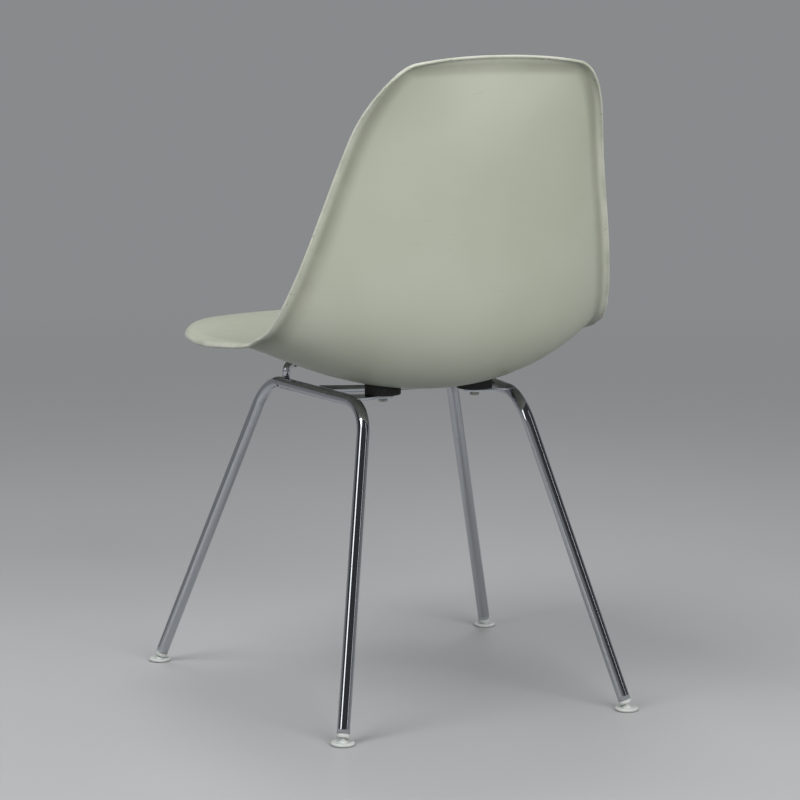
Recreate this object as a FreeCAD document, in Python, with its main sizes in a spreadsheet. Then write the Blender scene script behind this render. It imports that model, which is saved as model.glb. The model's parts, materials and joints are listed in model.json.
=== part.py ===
"""Moulded shell chair on a four-legged tube base, in millimetres.

The origin is on the floor under the middle of the chair, Z is up, the sitter faces -Y and the
sitter's left is +X. The moulded shell stands on four rubber mounts. The base is two bent tubes,
a cross bar between them, a front bow that lifts the front mounts and two rear tabs. Each tube end
holds a glide plug whose ball carries a tilting glide pad.
"""
import FreeCAD, Part
import Sketcher
import math
import os
from FreeCAD import Placement, Rotation, Vector

doc = FreeCAD.newDocument("ShellChair")

# Driving dimensions

SIZES = [
    # Leg frames
    ("tube_diameter", 15.9, "outside of the leg tube"),
    ("tube_wall", 1.5, "wall of the leg tube"),
    ("tube_bend", 50.8, "centre line radius of both bends"),
    ("rail_height", 387, "centre line of the side rails above the floor"),
    ("front_foot_out", 241.8, "front foot from the middle, sideways"),
    ("front_foot_ahead", 243.4, "front foot from the middle, forwards"),
    ("rear_foot_out", 193.5, "rear foot from the middle, sideways"),
    ("rear_foot_behind", 247.4, "rear foot from the middle, backwards"),
    ("front_corner_out", 130.7, "front leg line meets rail line, sideways"),
    ("front_corner_ahead", 129.1, "front leg line meets rail line, forwards"),
    ("rear_corner_out", 106.1, "rear leg line meets rail line, sideways"),
    ("rear_corner_behind", 120.6, "rear leg line meets rail line, backwards"),
    # Rods and mounting steel
    ("rod_diameter", 10, "front bow and cross bar"),
    ("bow_bend", 9, "centre line radius of the bow's two bends"),
    ("cross_bar_ahead", 4, "cross bar forwards of the middle"),
    ("cross_bar_lift", 4, "ends of the cross bar above the rail's centre line"),
    ("cross_bar_dip", 4.5, "middle of the cross bar below its ends"),
    ("plate_thickness", 3.5, "rear tabs and front mounting plates"),
    ("plate_width", 28, "width of a plate round its bolt"),
    ("tab_root_width", 46, "width of a rear tab where it meets the rail"),
    ("bow_to_bolt", 13, "front bow's centre line behind the front bolts"),
    # Rubber mounts and their fasteners
    ("mount_diameter", 45, "rubber mount"),
    ("mount_thickness", 10, "rubber mount at its middle"),
    ("mount_edge_round", 1.2, "round on the mount's lower edge"),
    ("mount_out", 63.5, "all four mounts, sideways from the middle"),
    ("rear_mount_behind", 80, "rear mounts"),
    ("front_mount_ahead", 89, "front mounts"),
    ("insert_flange", 24, "diameter of the steel insert's flange"),
    ("insert_flange_thickness", 2, "flange of the insert"),
    ("insert_boss", 12, "diameter of the insert's threaded boss"),
    ("insert_height", 7, "insert from the mount's lower face"),
    ("bolt_diameter", 6.35, "bolt shank"),
    ("bolt_across_flats", 11.1, "hexagon of the bolt head"),
    ("bolt_head_height", 4.1, "bolt head"),
    ("bolt_face_share", 0.96, "flat face of the bolt head, as a share across the flats"),
    ("bolt_end_gap", 1, "bolt's end below the top of the insert"),
    ("washer_diameter", 12.2, "spring washer"),
    ("washer_thickness", 1.5, "spring washer"),
    ("washer_slit", 0.8, "gap in the spring washer"),
    ("thread_clearance", 0.2, "bore over bolt, on the diameter"),
    ("hole_clearance", 0.6, "plate hole over bolt, on the diameter"),
    # Glides
    ("pad_diameter", 29.5, "glide pad"),
    ("pad_edge", 2.2, "height of the pad's edge"),
    ("pad_edge_round", 0.88, "round on both rims of the pad's edge"),
    ("pad_boss_diameter", 9.6, "top of the pad's dome, round the ball"),
    ("ball_diameter", 8, "ball on the glide plug"),
    ("ball_height", 5, "ball centre above the floor"),
    ("ball_clearance", 0.15, "socket over ball, all round"),
    ("ball_neck", 4.8, "neck where it leaves the ball"),
    ("collar_neck", 10.4, "neck where it meets the collar"),
    ("neck_length", 5.5, "ball centre to the collar"),
    ("collar_thickness", 4, "collar under the tube's end"),
    ("plug_length", 18, "plug inside the tube"),
    ("plug_clearance", 0.05, "plug in tube, all round"),
    ("swivel_limit", 25, "pad tilt either way from the leg's own line, degrees"),
    ("swivel_spare", 4, "extra opening of the socket's mouth, degrees"),
    # Shell wall and rim
    ("shell_wall", 3.5, "moulded wall"),
    ("lip_width", 16, "rolled lip along the rim, measured in the shell's surface"),
    ("lip_flare", 10, "how far the lip stands out behind the shell's surface"),
    ("lip_turn", 80, "how far the lip has turned at its edge, degrees"),
    ("front_corner_start", 0.36, "share of the half width where the front corner starts"),
    ("front_corner_depth", 0.18, "share of the centre line that the front corner takes"),
    ("top_corner_start", 0.73, "share of the half width where the top corner starts"),
    ("top_corner_depth", 0.09, "share of the centre line that the top corner takes"),
]

# The shell's cross sections, from the front edge to the top. Each one has its share of the way
# along the shell, its middle (backwards of the chair's middle and up from the side rails), its
# side edge (out, backwards and up), and the parabola's share in its curve: 1 is a plain parabola,
# and less is flatter in the middle.
SECTIONS = [
    ("front", 0.00, (-270.5, 54), (205.5, -271.5, 44), 0.56),
    ("crest", 0.08, (-242.5, 74.5), (216, -234, 53), 0.45),
    ("thigh", 0.22, (-148, 60.5), (224, -138.5, 50), 0.61),
    ("seat", 0.36, (-48, 40.5), (231.5, -34, 58.5), 0.73),
    ("low", 0.48, (49, 17.5), (236.5, 55.5, 70.5), 0.77),
    ("heel", 0.58, (131.5, 22), (236, 87.5, 82), 0.89),
    ("hip", 0.67, (191, 74.5), (229.5, 119, 101), 0.77),
    ("waist", 0.79, (230, 195.5), (205, 168.5, 192), 0.69),
    ("back", 0.90, (257.5, 331.5), (171.5, 212, 319), 0.69),
    ("top", 1.00, (274.5, 425.5), (145.5, 268, 410.5), 0.56),
]
SECTION_PARTS = ("way", "mid_y", "mid_z", "side_x", "side_y", "side_z", "parabola")

sheet = doc.addObject("Spreadsheet::Sheet", "Sizes")


def add_size(row, name, value, note):
    """One line of the sheet: its name, its value under that alias, and what it is."""
    sheet.set("A%d" % row, name)
    sheet.set("B%d" % row, str(value))
    sheet.setAlias("B%d" % row, name)
    sheet.set("C%d" % row, note)


def fill_sheet():
    row = 1
    for name, value, note in SIZES:
        add_size(row, name, value, note)
        row += 1
    for label, way, mid, side, parabola in SECTIONS:
        for part, value in zip(SECTION_PARTS, (way,) + mid + side + (parabola,)):
            add_size(row, "section_%s_%s" % (label, part), value, "shell section")
            row += 1


fill_sheet()
doc.recompute()


def size(name):
    return float(sheet.get(name))


def cell(name):
    return "Sizes." + name


UP = Vector(0, 0, 1)
SIDES = (("left", 1), ("right", -1))
parts = []


def unit(vector):
    return Vector(vector).normalize()


def keep(obj, node):
    """Names an object after its node and lists it for the hand-over."""
    obj.Label = node
    parts.append(obj)
    return obj


def feature(node, shape):
    """A sub-part whose shape is worked out here from the sheet's sizes."""
    obj = doc.addObject("Part::Feature", node)
    obj.Shape = shape
    obj.Placement = Placement()
    return keep(obj, node)


def bound(kind, name, **sizes):
    """A Part primitive with its properties bound to expressions."""
    obj = doc.addObject("Part::" + kind, name)
    for prop, expression in sizes.items():
        obj.setExpression(prop, expression)
    return obj


def joined(kind, name, base, tool):
    obj = doc.addObject("Part::" + kind, name)
    obj.Base = base
    obj.Tool = tool
    return obj


# Bent tubes and rods


def bent_path(points, radius):
    """Straight runs through the points, joined by tangent arcs of one radius."""
    edges = []
    start = points[0]
    for before, corner, after in zip(points, points[1:], points[2:]):
        back = unit(before - corner)
        onward = unit(after - corner)
        half_turn = (math.pi - back.getAngle(onward)) / 2
        reach = radius * math.tan(half_turn)
        middle = unit(back + onward) * (radius / math.cos(half_turn) - radius)
        arc_start = corner + back * reach
        arc_end = corner + onward * reach
        edges.append(Part.LineSegment(start, arc_start).toShape())
        edges.append(Part.Arc(arc_start, corner + middle, arc_end).toShape())
        start = arc_end
    edges.append(Part.LineSegment(start, points[-1]).toShape())
    return Part.Wire(edges)


def swept_round(path, diameter):
    """A round bar along the path."""
    first = path.Edges[0]
    start = first.valueAt(first.FirstParameter)
    along = first.tangentAt(first.FirstParameter)
    circle = Part.Wire([Part.Circle(start, along, diameter / 2).toShape()])
    return path.makePipeShell([circle], True, False)


def foot_point(end, side):
    """Ball centre of one glide, where the leg's own line meets it."""
    out = size(end + "_foot_out") * side
    if end == "front":
        return Vector(out, -size("front_foot_ahead"), size("ball_height"))
    return Vector(out, size("rear_foot_behind"), size("ball_height"))


def corner_point(end, side):
    out = size(end + "_corner_out") * side
    if end == "front":
        return Vector(out, -size("front_corner_ahead"), size("rail_height"))
    return Vector(out, size("rear_corner_behind"), size("rail_height"))


def leg_direction(end, side):
    """Unit vector from the ball up the leg."""
    return unit(corner_point(end, side) - foot_point(end, side))


def rail_point(side, ahead):
    """Point on the side rail's centre line at a distance forwards of the middle."""
    front = corner_point("front", side)
    rear = corner_point("rear", side)
    share = (-ahead - front.y) / (rear.y - front.y)
    return front + (rear - front) * share


def leg_path(side):
    lift = size("neck_length") + size("collar_thickness")
    front_end = foot_point("front", side) + leg_direction("front", side) * lift
    rear_end = foot_point("rear", side) + leg_direction("rear", side) * lift
    points = [front_end, corner_point("front", side), corner_point("rear", side), rear_end]
    return bent_path(points, size("tube_bend"))


leg_solid = {}


def make_leg_frame(name, side):
    """One bent tube: front leg, side rail and rear leg."""
    path = leg_path(side)
    leg_solid[side] = swept_round(path, size("tube_diameter"))
    bore = swept_round(path, size("tube_diameter") - 2 * size("tube_wall"))
    feature(name + "_leg_frame", leg_solid[side].cut(bore))


for name, side in SIDES:
    make_leg_frame(name, side)


def make_cross_bar():
    """A rod between the rails that dips a little in the middle; its ends fit round the tubes."""
    lift = Vector(0, 0, size("cross_bar_lift"))
    left = rail_point(1, size("cross_bar_ahead")) + lift
    right = rail_point(-1, size("cross_bar_ahead")) + lift
    middle = (left + right) * 0.5 - Vector(0, 0, size("cross_bar_dip"))
    path = Part.Wire([Part.Arc(left, middle, right).toShape()])
    rod = swept_round(path, size("rod_diameter"))
    rod = rod.cut(leg_solid[1]).cut(leg_solid[-1])
    feature("cross_bar", max(rod.Solids, key=lambda solid: solid.Volume))


make_cross_bar()

# Moulded shell


def section_values(part):
    return [size("section_%s_%s" % (section[0], part)) for section in SECTIONS]


def through(points, ways):
    """A smooth curve through one point per section."""
    curve = Part.BSplineCurve()
    curve.interpolate(Points=points, Parameters=ways)
    return curve


STEP = 0.002


class ShellForm:
    """The shell's sitting surface as a function of s (-1 to 1 across) and t (0 to 1 along).

    A cross section runs from its middle point to its side edge. Between them the rise follows
    a*s^2 + (1 - a)*s^4, where a is the parabola's share.
    """

    def __init__(self, mids, sides):
        ways = section_values("way")
        self.ways = ways
        self.mid = through(mids, ways)
        self.side = through(sides, ways)
        shares = [Vector(a, way, 0) for a, way in zip(section_values("parabola"), ways)]
        self.share = through(shares, ways)

    def point(self, s, t):
        mid = self.mid.value(t)
        side = self.side.value(t)
        share = self.share.value(t).x
        rise = share * s ** 2 + (1 - share) * s ** 4
        return Vector(side.x * s, mid.y + (side.y - mid.y) * rise, mid.z + (side.z - mid.z) * rise)

    def slopes(self, s, t):
        """Change of the point per unit of s and of t."""
        low = max(t - STEP, 0)
        high = min(t + STEP, 1)
        across = (self.point(s + STEP, t) - self.point(s - STEP, t)) * (0.5 / STEP)
        along = (self.point(s, high) - self.point(s, low)) * (1 / (high - low))
        return across, along

    def normal(self, s, t):
        """Unit normal towards the sitter."""
        across, along = self.slopes(s, t)
        return unit(across.cross(along))


def first_form():
    rail = size("rail_height")
    mids = [Vector(0, y, rail + z) for y, z in zip(section_values("mid_y"), section_values("mid_z"))]
    outs = zip(section_values("side_x"), section_values("side_y"), section_values("side_z"))
    return ShellForm(mids, [Vector(x, y, rail + z) for x, y, z in outs]), mids


def base_form():
    """The surface before its rim is rolled, so that the rolled rim lies on the given edge."""
    form, mids = first_form()
    turned = size("lip_flare") + size("shell_wall") / 2
    sides = [form.point(1, t) + form.normal(1, t) * turned for t in form.ways]
    mids[0] = mids[0] + form.normal(0, 0) * turned
    mids[-1] = mids[-1] + form.normal(0, 1) * turned
    return ShellForm(mids, sides)


form = base_form()
WALL = size("shell_wall")
ACROSS_STEPS = 12
ALONG_STEPS = 20
RIM_STEPS = 48
LIP_STEPS = 5
EDGE_STEPS = 3
OUTLINE_SAMPLES = 40


def outline():
    """Half of the shell's outline in s and t, from the front middle to the top middle."""
    front_start = size("front_corner_start")
    front_depth = size("front_corner_depth")
    top_start = size("top_corner_start")
    top_depth = size("top_corner_depth")
    shares = [i / OUTLINE_SAMPLES for i in range(OUTLINE_SAMPLES)]
    turns = [share * math.pi / 2 for share in shares]
    points = [(front_start * share, 0) for share in shares]
    for turn in turns:
        s = front_start + (1 - front_start) * math.sin(turn)
        points.append((s, front_depth * (1 - math.cos(turn))))
    length = 1 - front_depth - top_depth
    for share in [i / (8 * OUTLINE_SAMPLES) for i in range(8 * OUTLINE_SAMPLES)]:
        points.append((1, front_depth + length * share))
    for turn in turns:
        s = top_start + (1 - top_start) * math.cos(turn)
        points.append((s, 1 - top_depth + top_depth * math.sin(turn)))
    points += [(top_start * (1 - share), 1) for share in shares]
    points.append((0, 1))
    return points


def even_outline(count):
    """The outline again, as points at even distances along the rim."""
    points = outline()
    places = [form.point(s, t) for s, t in points]
    lengths = [0]
    for a, b in zip(places, places[1:]):
        lengths.append(lengths[-1] + (b - a).Length)
    even = []
    k = 0
    for i in range(count + 1):
        target = lengths[-1] * i / count
        while k < len(points) - 2 and lengths[k + 1] < target:
            k += 1
        share = (target - lengths[k]) / (lengths[k + 1] - lengths[k])
        s = points[k][0] + (points[k + 1][0] - points[k][0]) * share
        t = points[k][1] + (points[k + 1][1] - points[k][1]) * share
        even.append((s, t))
    return even


def inward_steps(rim):
    """For each rim point, the change of s and t per millimetre straight in from the rim."""
    steps = []
    last = len(rim) - 1
    for i, (s, t) in enumerate(rim):
        before = rim[i - 1] if i > 0 else (-rim[1][0], rim[1][1])
        after = rim[i + 1] if i < last else (-rim[last - 1][0], rim[last - 1][1])
        along_rim = form.point(*after) - form.point(*before)
        inward = unit(form.normal(s, t).cross(along_rim)) * -1
        if inward.dot(form.point(s * 0.9, 0.05 + 0.9 * t) - form.point(s, t)) < 0:
            inward = inward * -1
        across, along = form.slopes(s, t)
        a, b, c = across.dot(across), across.dot(along), along.dot(along)
        p, q = across.dot(inward), along.dot(inward)
        det = a * c - b * b
        steps.append(((p * c - q * b) / det, (q * a - p * b) / det))
    return steps


def lip_rows(rim, steps):
    """Rows of points over the rolled lip, from the rim inwards, on both faces of the wall.

    The lip turns away along a quarter ellipse: at each turn up to lip_turn, the sine gives the way
    out to the rim, and one less the cosine gives the way back from the shell's surface.
    """
    width = size("lip_width")
    flare = size("lip_flare")
    full = math.radians(size("lip_turn"))
    tiny = full / 200
    last = len(rim) - 1

    def place(i, turn):
        w = width * (1 - math.sin(turn) / math.sin(full))
        return rim[i][0] + steps[i][0] * w, rim[i][1] + steps[i][1] * w

    def lip_point(i, turn):
        s, t = place(i, turn)
        drop = flare * (1 - math.cos(turn)) / (1 - math.cos(full))
        return form.point(s, t) - form.normal(s, t) * drop

    def mirrored(point):
        return Vector(-point.x, point.y, point.z)

    def lip_frame(i, turn):
        """A point of the lip, its normal towards the sitter and its way in from the rim."""
        before = lip_point(i - 1, turn) if i > 0 else mirrored(lip_point(1, turn))
        after = lip_point(i + 1, turn) if i < last else mirrored(lip_point(last - 1, turn))
        inward = lip_point(i, max(turn - tiny, 0)) - lip_point(i, max(turn, tiny))
        normal = unit((after - before).cross(inward))
        guide = form.normal(*place(i, turn))
        if turn == 0:
            normal = guide
        elif normal.dot(guide) < 0:
            normal = normal * -1
        return lip_point(i, turn), normal, inward

    inner, outer, edge = [], [], []
    for row in range(LIP_STEPS + 1):
        turn = full * (1 - row / LIP_STEPS)
        frames = [lip_frame(i, turn) for i in range(len(rim))]
        inner.append([point for point, normal, inward in frames])
        outer.append([point - normal * WALL for point, normal, inward in frames])
        if row == 0:
            for point, normal, inward in frames:
                out = unit(inward) * -1
                out = unit(out - normal * out.dot(normal))
                edge.append((point - normal * (WALL / 2), normal, out))
    rounds = []
    for step in range(EDGE_STEPS + 1):
        turn = math.pi * step / EDGE_STEPS
        reach = WALL / 2
        rounds.append([c + (n * math.cos(turn) + o * math.sin(turn)) * reach for c, n, o in edge])
    return inner, rounds, outer


def woven(rows, row_ways, point_ways, **ends):
    """A smooth surface through rows of points, with set parameters both ways.

    Each row becomes a curve, and a curve runs across the rows through each set of their poles, so
    two surfaces that share a row share exactly one edge. Two rows give straight lines across.
    """
    curves = []
    for row in rows:
        curve = Part.BSplineCurve()
        curve.interpolate(Points=row, Parameters=point_ways, **ends)
        curves.append(curve)
    columns = [list(column) for column in zip(*[curve.getPoles() for curve in curves])]
    if len(rows) == 2:
        poles, knots, repeats, degree = columns, row_ways, [2, 2], 1
    else:
        crossings = [through(column, row_ways) for column in columns]
        poles = [crossing.getPoles() for crossing in crossings]
        knots, repeats = crossings[0].getKnots(), crossings[0].getMultiplicities()
        degree = crossings[0].Degree
    surface = Part.BSplineSurface()
    surface.buildFromPolesMultsKnots(poles, curves[0].getMultiplicities(), repeats,
                                     curves[0].getKnots(), knots, False, False, 3, degree)
    return surface


def distances(points):
    """Running distance along a list of points."""
    lengths = [0.0]
    for a, b in zip(points, points[1:]):
        lengths.append(lengths[-1] + (b - a).Length)
    return lengths


def body_surface(depth):
    """The whole form as one smooth surface, at a depth below the sitting surface."""
    rows = []
    for j in range(ALONG_STEPS + 1):
        t = j / ALONG_STEPS
        row = []
        for i in range(ACROSS_STEPS + 1):
            s = 2 * i / ACROSS_STEPS - 1
            row.append(form.point(s, t) - form.normal(s, t) * depth)
        rows.append(row)
    half = ACROSS_STEPS // 2
    return woven(rows, distances([row[half] for row in rows]), distances(rows[half]))


def onto(surface, points):
    """The points moved to the nearest places on the surface."""
    moved = []
    for point in points:
        u, v = surface.parameter(point)
        moved.append(surface.value(u, v))
    return moved


def flat_middle(row):
    """The row with its first and last points exactly on the chair's middle plane."""
    row[0] = Vector(0, row[0].y, row[0].z)
    row[-1] = Vector(0, row[-1].y, row[-1].z)
    return row


def strip_face(rows, rim_ways):
    """One half of a strip along the rim; it leaves the middle plane square at both ends."""
    across = distances([row[len(row) // 2] for row in rows])
    ends = {"InitialTangent": Vector(1, 0, 0), "FinalTangent": Vector(-1, 0, 0)}
    return woven(rows, across, rim_ways, **ends).toShape()


def mirror_x(shape):
    return shape.mirror(Vector(0, 0, 0), Vector(1, 0, 0))


def trimmed(surface, strip_face, row):
    """The surface inside the closed line where the rolled lip meets it."""
    near = row[len(row) // 2]
    edge = min(strip_face.Edges, key=lambda e: e.distToShape(Part.Vertex(near))[0])
    wire = Part.Wire([edge, mirror_x(edge)])
    face = Part.Face(surface, wire)
    face.validate()
    return face


def make_shell():
    inside = body_surface(0)
    outside = body_surface(WALL)
    rim = even_outline(RIM_STEPS)
    inner, rounds, outer = lip_rows(rim, inward_steps(rim))
    inner[-1] = onto(inside, inner[-1])
    outer[-1] = onto(outside, outer[-1])
    for rows in (inner, rounds, outer):
        for row in rows:
            flat_middle(row)
    rounds[0] = inner[0]
    rounds[-1] = outer[0]
    rim_ways = distances(inner[0])
    inner_strip = strip_face(inner, rim_ways)
    outer_strip = strip_face(outer, rim_ways)
    flats = [strip_face(list(pair), rim_ways) for pair in zip(rounds, rounds[1:])]
    faces = [trimmed(inside, inner_strip, inner[-1]), trimmed(outside, outer_strip, outer[-1])]
    for strip in [inner_strip, outer_strip] + flats:
        faces += [strip, mirror_x(strip)]
    sewn = Part.makeCompound(faces)
    sewn.sewShape(0.05)
    solid = Part.Solid(sewn.Shells[0] if sewn.Shells else Part.Shell(sewn.Faces))
    if solid.Volume < 0:
        solid.reverse()
    return solid


shell_solid = make_shell()
feature("seat_shell", shell_solid)


SEARCH_STEPS = 12


def under_shell(x, y):
    """The shell's underside above a place on the floor: its point and its upward normal."""
    s, t = x / size("section_low_side_x"), size("section_low_way")
    for _ in range(SEARCH_STEPS):
        normal = form.normal(s, t)
        point = form.point(s, t) - normal * WALL
        across, along = form.slopes(s, t)
        miss_x, miss_y = x - point.x, y - point.y
        det = across.x * along.y - along.x * across.y
        s += (miss_x * along.y - miss_y * along.x) / det
        t += (miss_y * across.x - miss_x * across.y) / det
    return point, normal


# Mounts: each has a place and a direction, straight up at the rear and square to the shell in front


class Mount:
    """The middle of a rubber mount's lower face, the way up it, and the way along its plate."""

    def __init__(self, end, name, side):
        self.name = end + "_" + name
        self.side = side
        out = size("mount_out") * side
        if end == "front":
            point, normal = under_shell(out, -size("front_mount_ahead"))
            self.up = unit(Vector(0, normal.y, normal.z))
            self.onward = Vector(0, self.up.z, -self.up.y)
        else:
            point, normal = under_shell(out, size("rear_mount_behind"))
            self.up = UP
            self.onward = Vector(side, 0, 0)
        self.seat = point - self.up * size("mount_thickness")

    def placed(self, above=0.0):
        """Placement with Z up the mount and X along its plate, at a height above its lower face."""
        sideways = self.up.cross(self.onward)
        turn = Rotation(self.onward, sideways, self.up, "ZXY")
        return Placement(self.seat + self.up * above, turn)


mounts = [Mount(end, name, side) for end in ("front", "rear") for name, side in SIDES]


def make_shock_mount(mount):
    """A rubber disc moulded round its steel insert; its top follows the shell's underside.

    It starts taller than it ends, and the shell cuts it to its height.
    """
    radius = size("mount_diameter") / 2
    disc = Part.makeCylinder(radius, size("mount_thickness") + radius)
    lower_edge = min(disc.Edges, key=lambda e: e.BoundBox.ZMax)
    disc = disc.makeFillet(size("mount_edge_round"), [lower_edge])
    flange = Part.makeCylinder(size("insert_flange") / 2, size("insert_flange_thickness"))
    boss = Part.makeCylinder(size("insert_boss") / 2, size("insert_height"))
    rubber = disc.cut(flange.fuse(boss))
    rubber.Placement = mount.placed()
    pieces = rubber.cut(shell_solid).Solids
    feature("shock_mount_" + mount.name, min(pieces, key=lambda solid: solid.CenterOfMass.z))


def make_insert(mount):
    """Steel insert: a flange flush with the rubber and a threaded boss."""
    name = "mount_insert_" + mount.name
    flange = bound("Cylinder", name + "_flange",
                   Radius=cell("insert_flange") + " / 2", Height=cell("insert_flange_thickness"))
    boss = bound("Cylinder", name + "_boss",
                 Radius=cell("insert_boss") + " / 2", Height=cell("insert_height"))
    bore = bound("Cylinder", name + "_bore", Height=cell("insert_height"),
                 Radius="(Sizes.bolt_diameter + Sizes.thread_clearance) / 2")
    steel = joined("Fuse", name + "_steel", flange, boss)
    insert = joined("Cut", name, steel, bore)
    insert.Placement = mount.placed()
    keep(insert, name)


for mount in mounts:
    make_shock_mount(mount)
    make_insert(mount)

# Plates: each has a round end about its bolt and a wider or straight root


def dimension(sketch, kind, first, second, value, expression):
    """One dimension of a sketch, bound to the sheet."""
    number = sketch.addConstraint(Sketcher.Constraint(kind, *first, *second, value))
    sketch.setExpression("Constraints[%d]" % number, expression)


def sketch_in(body, plane_role, name):
    plane = next(p for p in body.Origin.OriginFeatures if p.Role == plane_role)
    sketch = body.newObject("Sketcher::SketchObject", name)
    sketch.AttachmentSupport = [(plane, "")]
    sketch.MapMode = "FlatFace"
    return sketch


ORIGIN = (-1, 1)


def plate_outline(sketch, length, root_width, length_cell, root_cell):
    """Half round about the origin, two sides tangent to it and a straight root."""
    radius = size("plate_width") / 2
    half = root_width / 2
    centre = Vector(0, 0, 0)
    sketch.addGeometry(Part.ArcOfCircle(
        Part.Circle(centre, UP, radius), math.pi / 2, 3 * math.pi / 2), False)
    upper_start, lower_start = Vector(0, radius, 0), Vector(0, -radius, 0)
    upper_end, lower_end = Vector(length, half, 0), Vector(length, -half, 0)
    sketch.addGeometry(Part.LineSegment(upper_start, upper_end), False)
    sketch.addGeometry(Part.LineSegment(upper_end, lower_end), False)
    sketch.addGeometry(Part.LineSegment(lower_end, lower_start), False)
    for constraint in (
            ("Coincident", 0, 3, -1, 1), ("Tangent", 0, 1, 1, 1), ("Coincident", 1, 2, 2, 1),
            ("Coincident", 2, 2, 3, 1), ("Tangent", 3, 2, 0, 2), ("Symmetric", 1, 2, 3, 1, -1)):
        sketch.addConstraint(Sketcher.Constraint(*constraint))
    radius_number = sketch.addConstraint(Sketcher.Constraint("Radius", 0, radius))
    sketch.setExpression("Constraints[%d]" % radius_number, cell("plate_width") + " / 2")
    dimension(sketch, "DistanceX", ORIGIN, (1, 2), length, length_cell)
    dimension(sketch, "DistanceY", (3, 1), (1, 2), root_width, root_cell)


def make_plate(name, placement, length, root_width, length_cell, root_cell):
    """A flat steel plate, its bolt hole at the origin, its top face at the placement."""
    body = doc.addObject("PartDesign::Body", name + "_body")
    outline_sketch = sketch_in(body, "XY_Plane", name + "_outline")
    plate_outline(outline_sketch, length, root_width, length_cell, root_cell)
    pad = body.newObject("PartDesign::Pad", name + "_pad")
    pad.Profile = outline_sketch
    pad.Reversed = True
    pad.setExpression("Length", cell("plate_thickness"))
    hole_sketch = sketch_in(body, "XY_Plane", name + "_hole")
    hole_sketch.addGeometry(Part.Circle(Vector(0, 0, 0), UP, 1), False)
    hole_sketch.addConstraint(Sketcher.Constraint("Coincident", 0, 3, -1, 1))
    number = hole_sketch.addConstraint(Sketcher.Constraint("Diameter", 0, 2))
    hole_sketch.setExpression("Constraints[%d]" % number,
                              "Sizes.bolt_diameter + Sizes.hole_clearance")
    pocket = body.newObject("PartDesign::Pocket", name + "_pocket")
    pocket.Profile = hole_sketch
    pocket.Type = "ThroughAll"
    body.Placement = placement
    return body


def rod_seat(mount):
    """Where the front bow's centre line passes under a front mount's plate."""
    down = size("plate_thickness") + size("rod_diameter") / 2
    return mount.seat - mount.up * down + mount.onward * size("bow_to_bolt")


def make_front_bow():
    """Bent rod: two risers on the rails and a straight run under the front plates."""
    seat = rod_seat(mounts[0])
    corners = []
    for side in (1, -1):
        foot = rail_point(side, -seat.y)
        top = Vector(foot.x, foot.y, seat.z)
        corners.append((foot, top))
    (left_foot, left_top), (right_foot, right_top) = corners
    path = bent_path([left_foot, left_top, right_top, right_foot], size("bow_bend"))
    rod = swept_round(path, size("rod_diameter"))
    rod = rod.cut(leg_solid[1]).cut(leg_solid[-1])
    feature("front_bow", max(rod.Solids, key=lambda solid: solid.Volume))


make_front_bow()


def make_front_plate(mount):
    """Mounting plate on the front bow, as far past the rod as its own bolt lies ahead of it."""
    length_cell = "Sizes.bow_to_bolt + Sizes.rod_diameter"
    length = size("bow_to_bolt") + size("rod_diameter")
    name = "front_mount_plate_" + mount.name.split("_")[1]
    body = make_plate(name, mount.placed(), length, size("plate_width"), length_cell,
                      cell("plate_width"))
    keep(body, name)


def make_rear_tab(mount):
    """Tab from a side rail to a rear mount; its root fits round the tube."""
    name = "rear_mount_tab_" + mount.name.split("_")[1]
    length = rail_point(1, -size("rear_mount_behind")).x - size("mount_out")
    rail_run = "(Sizes.front_corner_ahead + Sizes.rear_corner_behind)"
    rail_share = "(Sizes.rear_corner_behind - Sizes.rear_mount_behind) / " + rail_run
    rail_out = "Sizes.rear_corner_out + (Sizes.front_corner_out - Sizes.rear_corner_out)"
    length_cell = rail_out + " * " + rail_share + " - Sizes.mount_out"
    body = make_plate(name, mount.placed(), length, size("tab_root_width"), length_cell,
                      cell("tab_root_width"))
    tube = doc.addObject("Part::Feature", name + "_tube")
    tube.Shape = leg_solid[mount.side]
    keep(joined("Cut", name, body, tube), name)


for mount in mounts:
    if mount.name.startswith("front"):
        make_front_plate(mount)
    else:
        make_rear_tab(mount)

# Bolts and spring washers under the plates


BOLT_FACE = "Sizes.bolt_across_flats * Sizes.bolt_face_share / 2"


def make_bolt(mount):
    """Hexagon head with a bevelled outer face, and a shank that ends inside the insert."""
    name = "bolt_" + mount.name
    hexagon = bound("Prism", name + "_hexagon", Height=cell("bolt_head_height"),
                    Circumradius=cell("bolt_across_flats") + " / 2 / cos(30 deg)")
    hexagon.Polygon = 6
    bevel = bound("Cone", name + "_bevel", Height=cell("bolt_head_height"), Radius1=BOLT_FACE,
                  Radius2=BOLT_FACE + " + 2 * Sizes.bolt_head_height")
    head = joined("Common", name + "_head", hexagon, bevel)
    shank = bound("Cylinder", name + "_shank", Radius=cell("bolt_diameter") + " / 2",
                  Height="Sizes.bolt_head_height + Sizes.washer_thickness"
                         " + Sizes.plate_thickness + Sizes.insert_height"
                         " - Sizes.bolt_end_gap")
    bolt = joined("Fuse", name, head, shank)
    depth = size("plate_thickness") + size("washer_thickness") + size("bolt_head_height")
    bolt.Placement = mount.placed(-depth)
    return bolt


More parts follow.
